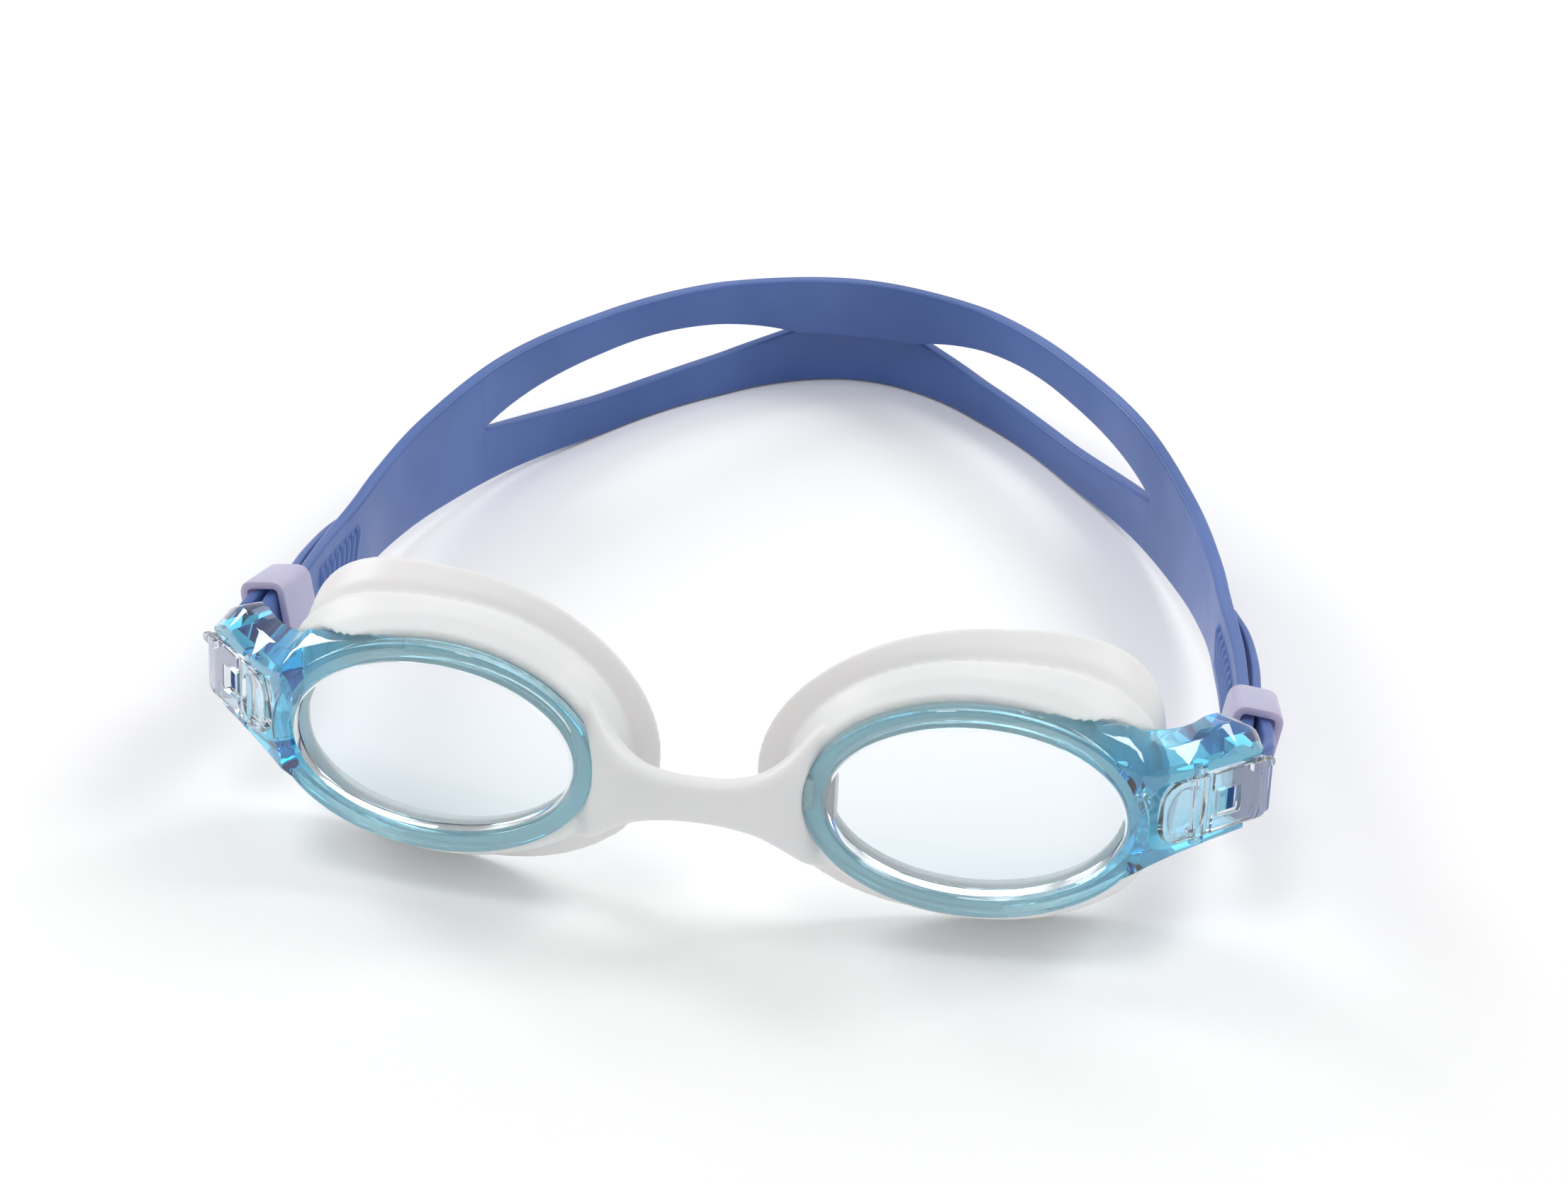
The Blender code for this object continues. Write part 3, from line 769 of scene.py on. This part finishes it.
# From the right keeper to the middle of the back: (x, y, width).
STRAP_RUN = (
    (65.8, 40.0, 9.7),
    (65.2, 53.0, 10.4),
    (63.9, 64.0, 11.4),
    (62.0, 76.0, 13.2),
    (57.8, 90.0, 16.2),
    (49.8, 107.6, 19.6),
    (39.4, 122.6, 21.0),
    (27.4, 136.2, 20.4),
    (14.0, 145.9, 19.4),
    (0.0, 149.7, 19.0),
)
# From the free tip to the keeper: (y, how far outside the run, z).
STRAP_TAIL = (
    (67.5, 1.6, -9.6),
    (60.0, 2.5, -9.2),
    (50.0, 2.5, -8.4),
)
RUN_STEPS = 10
TAIL_TIP_WIDTH, TAIL_TIP_THICK = 5.0, 0.9
STRAP_UP = 0.4
OUTER_BEND = ((70.7, 25.5, -0.6), (71.25, 21.4, 0.1))
INNER_BEND = (66.75, 24.8, -0.5)
HALF_TURN_STEPS = 16
BACK_THICKER = 0.3

# The split reaches this many stations from the middle. Its branches touch over the share CROSSING of that.
SPLIT_REACH = 43
SPLIT_OPENING = 8.2
CROSSING = 0.17
CROSSING_PUSH = 1.05
PUSH_SHARE = 0.36

RIBS = 8
RIB_FIRST, RIB_STEP = 4, 2
RIB_SLANT = 0.6
RIB_LENGTH, RIB_WIDTH, RIB_PROUD = 7.2, 1.9, 0.8


def left_fade(y, side):
    return max(0.0, 1 - (y - RUN_START) / LEFT_FADE) ** 2 if side < 0 else 0.0


def strap_low(y, side):
    part = min(1.0, max(0.0, (y - RUN_START) / (REST_FROM - RUN_START)))
    return -LENS_HEIGHT + STRAP_DROP * (1 - part) ** 1.25 + LEFT_RISE * left_fade(y, side)


def strap_sway(y):
    return STRAP_SWAY * sin(pi / 2 * (y - RUN_START) / (BACK_REACH - RUN_START))


def strap_x(y):
    for (x0, y0, _), (x1, y1, _) in zip(STRAP_RUN, STRAP_RUN[1:]):
        if y <= y1:
            return x0 + (x1 - x0) * (y - y0) / (y1 - y0)
    return 0.0


def keeper_axis(side):
    flare, rise = (LEFT_FLARE, LEFT_RISE) if side < 0 else (0.0, 0.0)
    front = in_face((KEEPER_FRONT[0] + flare, KEEPER_Y[0], KEEPER_FRONT[1] + rise), side)
    back = in_face((KEEPER_BACK[0] + flare, KEEPER_Y[1], KEEPER_BACK[1] + rise), side)
    return front, back


def leaning_up(side):
    return (FACE_UP + Vector((KEEPER_LEAN * side, 0, 0))).normalized()


def build_keeper(name, side, material):
    front, back = keeper_axis(side)
    along = (back - front).normalized()
    up = leaning_up(side)
    across = along.cross(up).normalized() * side
    half = (LAYER_APART / 2 + STRAP_THICK / 2 + KEEPER_ROOM[0], STRAP_WIDTH / 2 + KEEPER_ROOM[1])
    length = (back - front).length

    def ring(extra, corner, where):
        x, z = half[0] + extra, half[1] + extra
        shape = fillet([(x, z), (-x, z), (-x, -z), (x, -z)], corner, 7)
        return [front + along * where + across * p[0] + up * p[1] for p in shape]

    wall = KEEPER_WALL
    rings = [
        ring(wall - 0.3, 2.0, 0.0),
        ring(wall - 0.08, 2.1, 0.1),
        ring(wall, 2.2, 0.4),
        ring(wall, 2.2, length - 0.4),
        ring(wall - 0.08, 2.1, length - 0.1),
        ring(wall - 0.3, 2.0, length),
        ring(0.25, 0.9, length),
        ring(0.06, 0.8, length - 0.1),
        ring(0.0, 0.7, length - 0.35),
        ring(0.0, 0.7, 0.35),
        ring(0.06, 0.8, 0.1),
        ring(0.25, 0.9, 0.0),
    ]
    return hoop(name, rings, material)


def strap_half(side):
    """Stations from the free tip to the middle of the back: (middle, up, width, thickness)."""
    stations = []

    def add(points, widths, thicknesses, ups):
        last = len(points) - 1
        for i, point in enumerate(points):
            t = i / last
            width = widths[0] + (widths[1] - widths[0]) * t
            thick = thicknesses[0] + (thicknesses[1] - thicknesses[0]) * t
            stations.append((point, ups[0].lerp(ups[1], t).normalized(), width, thick))

    tall = Vector((0, 0, 1))
    lean_up = leaning_up(side)
    outer_depth = BAR_DEPTH[0] - GAP - STRAP_THICK / 2
    inner_depth = BAR_DEPTH[1] + GAP + STRAP_THICK / 2
    radius = (inner_depth - outer_depth) / 2
    turn_at = SLOT[1] + 0.2
    front, back = keeper_axis(side)
    outwards = Vector((side * LAYER_APART / 2, 0, 0))
    full, thick = (STRAP_WIDTH, STRAP_WIDTH), (STRAP_THICK, STRAP_THICK)
    knots = []
    for y, out, z in STRAP_TAIL:
        x = (strap_x(y) + out + LEFT_FLARE * left_fade(y, side)) * side + strap_sway(y)
        knots.append(Vector((x, y + FACE_Y, z + LENS_HEIGHT + LEFT_RISE * left_fade(y, side))))
    tail = smooth([*knots, back + outwards, front + outwards], 8)
    add(tail, (TAIL_TIP_WIDTH, STRAP_WIDTH), (TAIL_TIP_THICK, STRAP_THICK), (tall, lean_up))
    bend = smooth([front + outwards, *(in_face(point, side) for point in OUTER_BEND)], 6)
    add(bend[1:], full, thick, (lean_up, FACE_UP))
    bend = smooth(
        [
            in_face(OUTER_BEND[-1], side),
            in_face(wing_point(WING_LENGTH - 0.5, outer_depth - 0.2, STRAP_UP), side),
            in_face(wing_point(turn_at + 0.1, outer_depth, STRAP_UP), side),
        ],
        6,
    )
    add(bend[1:], full, thick, (FACE_UP, FACE_UP))
    turn = []
    for i in range(1, HALF_TURN_STEPS):
        a = pi * i / HALF_TURN_STEPS
        along = turn_at - TURN_REACH * sin(a)
        depth = (outer_depth + inner_depth) / 2 - radius * cos(a)
        turn.append(in_face(wing_point(along, depth, STRAP_UP), side))
    add(turn, full, thick, (FACE_UP, FACE_UP))
    inside = smooth(
        [
            in_face(wing_point(turn_at + 0.3, inner_depth, STRAP_UP), side),
            in_face(INNER_BEND, side),
            front - outwards,
            back - outwards,
        ],
        8,
    )
    add(inside[:-1], full, thick, (FACE_UP, lean_up))
    run = []
    for x, y, width in STRAP_RUN:
        run.append(((x + LEFT_FLARE * left_fade(y, side)) * side + strap_sway(y), y, width))
    mirrored = (2 * run[-1][0] - run[-2][0], run[-2][1], run[-2][2])
    curve = smooth([*run, mirrored], RUN_STEPS)[: RUN_STEPS * (len(run) - 1) + 1]
    for i, (x, y, width) in enumerate(curve):
        t = min(1.0, i / (RUN_STEPS * 2.4))
        place = Vector((x, y + FACE_Y, strap_low(y, side) + width / 2 + LENS_HEIGHT))
        stations.append((place, lean_up.lerp(tall, t).normalized(), width, STRAP_THICK + BACK_THICKER * t))
    return stations


def strap_ring(stations, i, width, thick, shift=0.0, push=0.0):
    middle, up, _, _ = stations[i]
    before = stations[max(0, i - 1)][0]
    after = stations[min(len(stations) - 1, i + 1)][0]
    ahead = (after - before).normalized()
    across = ahead.cross(up).normalized()
    half_w, half_t = width / 2, thick / 2
    outline = fillet(
        [(half_t, half_w), (-half_t, half_w), (-half_t, -half_w), (half_t, -half_w)],
        min(0.55, thick * 0.36, width * 0.36),
        4,
    )
    return [middle + across * (a + push) + up * (b + shift) for a, b in outline]


def rib(stations, i, slant):
    """One rounded diagonal rib about station i, on the strap's inner face."""
    middle, up, _, thick = stations[i]
    ahead = (stations[i + 1][0] - stations[i - 1][0]).normalized()
    inwards = -ahead.cross(up).normalized()
    direction = (up * cos(slant) + ahead * sin(slant)).normalized()
    beside = direction.cross(inwards).normalized()
    angles = [2 * pi * j / 12 for j in range(12)]
    rings = []
    count = 14
    for k in range(count + 1):
        t = -1 + 2 * k / count
        size = max(0.08, 1 - abs(t) ** 6) ** 0.5
        base = middle + inwards * (thick / 2 - 0.15) + direction * (t * RIB_LENGTH / 2)
        shape = [(RIB_WIDTH / 2 * size * cos(a), RIB_PROUD * size * sin(a)) for a in angles]
        rings.append([base + beside * x + inwards * z for x, z in shape])
    return loft("rib", rings)


def build_strap(name, material):
    right = strap_half(1)
    left = strap_half(-1)
    stations = right + list(reversed(left))[1:]
    middle = len(right) - 1
    first, last = middle - SPLIT_REACH, middle + SPLIT_REACH
    parts = []
    ends = ((0, first), (last, len(stations) - 1))
    for a, b in ends:
        rings = [strap_ring(stations, i, stations[i][2], stations[i][3]) for i in range(a, b + 1)]
        parts.append(loft("end", rings))
    for half in (1, -1):
        rings = []
        for i in range(first - 2, last + 3):
            part = min(1.0, abs(i - middle) / SPLIT_REACH)
            width, thick = stations[i][2], stations[i][3]
            beyond = (part - CROSSING) / (1 - CROSSING)
            opening = SPLIT_OPENING * max(0.0, sin(pi * max(0.0, beyond))) ** 0.8
            opening -= max(0.0, 1 - part / CROSSING)
            if i < first or i > last:
                opening, width, thick = 0.6, width - 0.1, thick - 0.1
            branch = (width - opening) / 2
            push = CROSSING_PUSH * max(0.0, 1 - (part / PUSH_SHARE) ** 2)
            rings.append(strap_ring(stations, i, branch, thick, half * (width - branch) / 2, -half * push))
        parts.append(loft("branch", rings))
    keeper_back = middle - RUN_STEPS * (len(STRAP_RUN) - 1)
    for base, sign in ((keeper_back, 1), (len(stations) - 1 - keeper_back, -1)):
        for k in range(RIBS):
            i = base + sign * (RIB_FIRST + RIB_STEP * k)
            parts.append(rib(stations, i, sign * RIB_SLANT))
    return joined(name, parts, material)


# ---------------------------------------------------------------- scene


def put(made, body, node):
    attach(made, body)
    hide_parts(node)


def build_all():
    m = make_materials()
    for side, label in SIDES:
        frame_piece = build_frame("frame_" + label, side, m["tint"])
        put(frame_piece, "face_unit", "lens_frame_" + label)
        lens = build_lens("clear_lens_" + label, side, m["lens"])
        put(lens, "face_unit", "lens_" + label)
        lever = build_lever("quick_lever_" + label, side, m["clear"])
        put(lever, "lever_" + label, "release_lever_" + label)
        keeper = build_keeper("strap_keeper_" + label, side, m["lavender"])
        put(keeper, "keeper_" + label + "_body", "keeper_" + label)
        for piece in (frame_piece, lens, lever):
            piece.visible_shadow = False
    put(build_gasket("soft_gasket", m["milky"]), "face_unit", "gasket")
    put(build_strap("soft_strap", m["strap"]), "face_unit", "head_strap")


def add_camera():
    turn, height, roll = radians(11.0), radians(32.0), radians(0.57)
    right = Vector((cos(turn), sin(turn), 0))
    ahead = Vector((-sin(turn) * cos(height), cos(turn) * cos(height), -sin(height)))
    up = right.cross(ahead)
    across = right * cos(roll) + up * sin(roll)
    tall = up * cos(roll) - right * sin(roll)
    target = Vector((10.9, FACE_Y, LENS_HEIGHT + 30.3)) * MM
    camera = bpy.data.objects.new("camera", bpy.data.cameras.new("camera"))
    camera.data.lens = 90
    camera.data.sensor_width = 36
    camera.data.sensor_fit = "HORIZONTAL"
    camera.data.clip_start = 0.01
    distance = 0.488
    place = target - ahead * distance
    camera.matrix_world = Matrix(
        (
            (across.x, tall.x, -ahead.x, place.x),
            (across.y, tall.y, -ahead.y, place.y),
            (across.z, tall.z, -ahead.z, place.z),
            (0, 0, 0, 1),
        )
    )
    bpy.context.scene.collection.objects.link(camera)
    bpy.context.scene.camera = camera


def add_area(name, place, size, power, target=(0, 0, 0.02)):
    light = bpy.data.lights.new(name, "AREA")
    light.shape = "RECTANGLE"
    light.size, light.size_y = size
    light.energy = power
    made = bpy.data.objects.new(name, light)
    made.location = place
    made.rotation_euler = (Vector(target) - Vector(place)).to_track_quat("-Z", "Y").to_euler()
    bpy.context.scene.collection.objects.link(made)


def add_stage():
    mesh = bpy.data.meshes.new("floor")
    far = 4.0
    mesh.from_pydata([(-far, -far, 0), (far, -far, 0), (far, far, 0), (-far, far, 0)], [], [(0, 1, 2, 3)])
    floor = bpy.data.objects.new("floor", mesh)
    just_below = 0.0002
    floor.location = (0, 0, -just_below)
    bpy.context.scene.collection.objects.link(floor)
    paint, _, _ = shader_of("floor paint", (0.97, 0.97, 0.97), 0.9)
    mesh.materials.append(paint)
    world = bpy.data.worlds.new("studio")
    world.use_nodes = True
    world.node_tree.nodes["Background"].inputs["Color"].default_value = (1.0, 1.0, 1.0, 1)
    world.node_tree.nodes["Background"].inputs["Strength"].default_value = 0.61
    bpy.context.scene.world = world
    add_area("key", (-0.16, -0.14, 0.97), (0.36, 0.36), 1.5)
    add_area("right box", (0.60, 0.30, 0.74), (0.36, 0.36), 2.4)
    add_area("left box", (-0.77, 0.40, 0.50), (0.36, 0.36), 2.4)
    add_area("back", (0.1, 0.8, 0.6), (0.9, 0.4), 1.0)
    bpy.context.scene.view_settings.view_transform = "Standard"


build_all()
add_camera()
add_stage()
